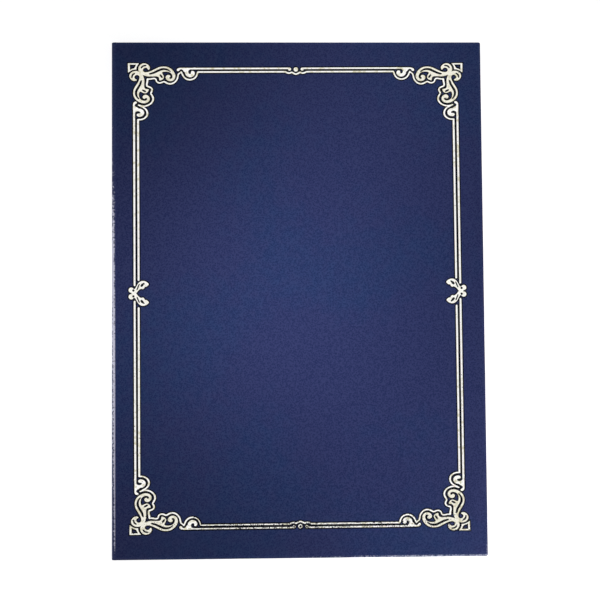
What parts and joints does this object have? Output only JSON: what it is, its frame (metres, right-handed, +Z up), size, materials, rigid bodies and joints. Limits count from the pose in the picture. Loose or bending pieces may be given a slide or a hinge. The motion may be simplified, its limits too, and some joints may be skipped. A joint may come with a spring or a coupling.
{
  "type": "certificate holder",
  "caption": "A4 certificate holder that opens like a book: navy leatherette over boards, a scrolled double border of pale pressed foil, and satin corner ribbons inside",
  "frame": {"origin": "under the middle of the closed holder, on the surface that it lies on", "axes": "+X from the spine to the free edge, +Y from the bottom edge to the top edge as the front cover is read, +Z up out of the front cover; the holder lies closed on its back cover"},
  "size_m": [0.225, 0.312, 0.0074],
  "materials": {
    "leatherette": "navy coated book cloth with a fine pressed grain, satin",
    "greyboard": "raw grey binder's board, matt",
    "moire_lining": "ivory moire lining on card, soft watered sheen",
    "satin_ribbon": "navy satin ribbon, woven edges",
    "pressed_foil": "pale champagne hot-stamping foil pressed into the leatherette"
  },
  "bodies": {
    "back_cover": {"back_leatherette": "leatherette", "back_board": "greyboard", "back_hinge_strip": "leatherette", "back_filler_sheet": "greyboard", "back_lining_card": "moire_lining", "corner_ribbon_top_left": "satin_ribbon", "corner_ribbon_top_right": "satin_ribbon", "corner_ribbon_bottom_left": "satin_ribbon", "corner_ribbon_bottom_right": "satin_ribbon"},
    "spine": {"spine_leatherette": "leatherette", "spine_stiffener": "greyboard", "spine_lining_strip": "leatherette"},
    "front_cover": {"front_leatherette": "leatherette", "front_board": "greyboard", "front_hinge_strip": "leatherette", "front_filler_sheet": "greyboard", "front_lining_card": "moire_lining", "foil_square_top_left": "pressed_foil", "foil_flourish_top_left": "pressed_foil", "foil_level_line_top_left": "pressed_foil", "foil_upright_line_top_left": "pressed_foil", "foil_square_top_right": "pressed_foil", "foil_flourish_top_right": "pressed_foil", "foil_level_line_top_right": "pressed_foil", "foil_upright_line_top_right": "pressed_foil", "foil_square_bottom_left": "pressed_foil", "foil_flourish_bottom_left": "pressed_foil", "foil_level_line_bottom_left": "pressed_foil", "foil_upright_line_bottom_left": "pressed_foil", "foil_square_bottom_right": "pressed_foil", "foil_flourish_bottom_right": "pressed_foil", "foil_level_line_bottom_right": "pressed_foil", "foil_upright_line_bottom_right": "pressed_foil", "foil_inner_line_top": "pressed_foil", "foil_inner_line_bottom": "pressed_foil", "foil_dot_top": "pressed_foil", "foil_dot_bottom": "pressed_foil", "foil_side_ornament_left": "pressed_foil", "foil_side_ornament_right": "pressed_foil"}
  },
  "joints": [
    {"name": "spine_fold", "type": "hinge", "parent": "back_cover", "child": "spine", "pos_m": [-0.11207, 0, 0.00043], "axis": [0, -1, 0], "range_deg": [0, 90]},
    {"name": "cover_fold", "type": "hinge", "parent": "spine", "child": "front_cover", "pos_m": [-0.11207, 0, 0.00687], "axis": [0, -1, 0], "range_deg": [0, 90]}
  ]
}
